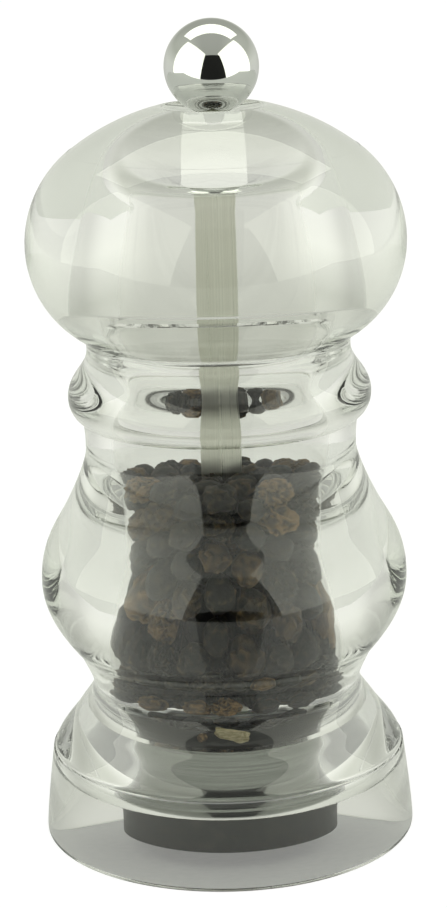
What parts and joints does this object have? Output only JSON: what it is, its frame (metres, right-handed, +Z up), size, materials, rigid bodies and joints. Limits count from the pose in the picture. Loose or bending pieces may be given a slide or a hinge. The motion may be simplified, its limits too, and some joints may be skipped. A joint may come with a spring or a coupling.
{
  "type": "pepper mill",
  "caption": "Clear acrylic pepper mill with a domed turning head, ball knob, square drive rod, hollow base and conical grinder.",
  "frame": {"origin": "centre of the base rim, on the surface that the mill stands on", "axes": "+Z up along the drive rod, towards the knob; the rod's corners point along X and Y"},
  "size_m": [0.052, 0.052, 0.1132],
  "materials": {
    "clear_acrylic": "polished clear acrylic",
    "chrome_plate": "bright chrome plate",
    "drawn_aluminium": "drawn bar, satin",
    "black_acetal": "moulded, fine grain",
    "white_nylon": "moulded",
    "hardened_steel": "hardened and blackened",
    "bright_steel": "zinc plated"
  },
  "bodies": {
    "body": {"body": "clear_acrylic", "collar": "chrome_plate", "housing": "black_acetal", "stator": "hardened_steel", "stator_clip": "bright_steel", "bridge": "bright_steel", "bridge_screw_left": "bright_steel", "bridge_screw_right": "bright_steel", "bearing_bush": "white_nylon"},
    "drive": {"thrust_washer": "bright_steel", "spring": "bright_steel"},
    "shaft": {"shaft": "drawn_aluminium", "spring_seat": "bright_steel", "rotor": "hardened_steel", "rotor_washer": "bright_steel", "rotor_nut": "bright_steel"},
    "head": {"head": "clear_acrylic"},
    "knob": {"knob_ball": "chrome_plate"}
  },
  "joints": [
    {"name": "head_turn", "type": "hinge", "parent": "body", "child": "drive", "pos_m": [0, 0, 0.0174], "axis": [0, 0, 1], "continuous": true},
    {"name": "grind_adjust", "type": "slide", "parent": "drive", "child": "shaft", "axis": [0, 0, -1], "range_m": [0, 0.0014], "deforming": ["spring"]},
    {"name": "head_lift", "type": "slide", "parent": "drive", "child": "head", "axis": [0, 0, 1], "range_m": [0, 0.04]},
    {"name": "knob_turn", "type": "hinge", "parent": "head", "child": "knob", "pos_m": [0, 0, 0.10685], "axis": [0, 0, 1], "range_deg": [0, 720]}
  ],
  "couplings": [
    {"joint": "grind_adjust", "follows": "knob_turn", "m_per_rad": 0.00011141}
  ]
}
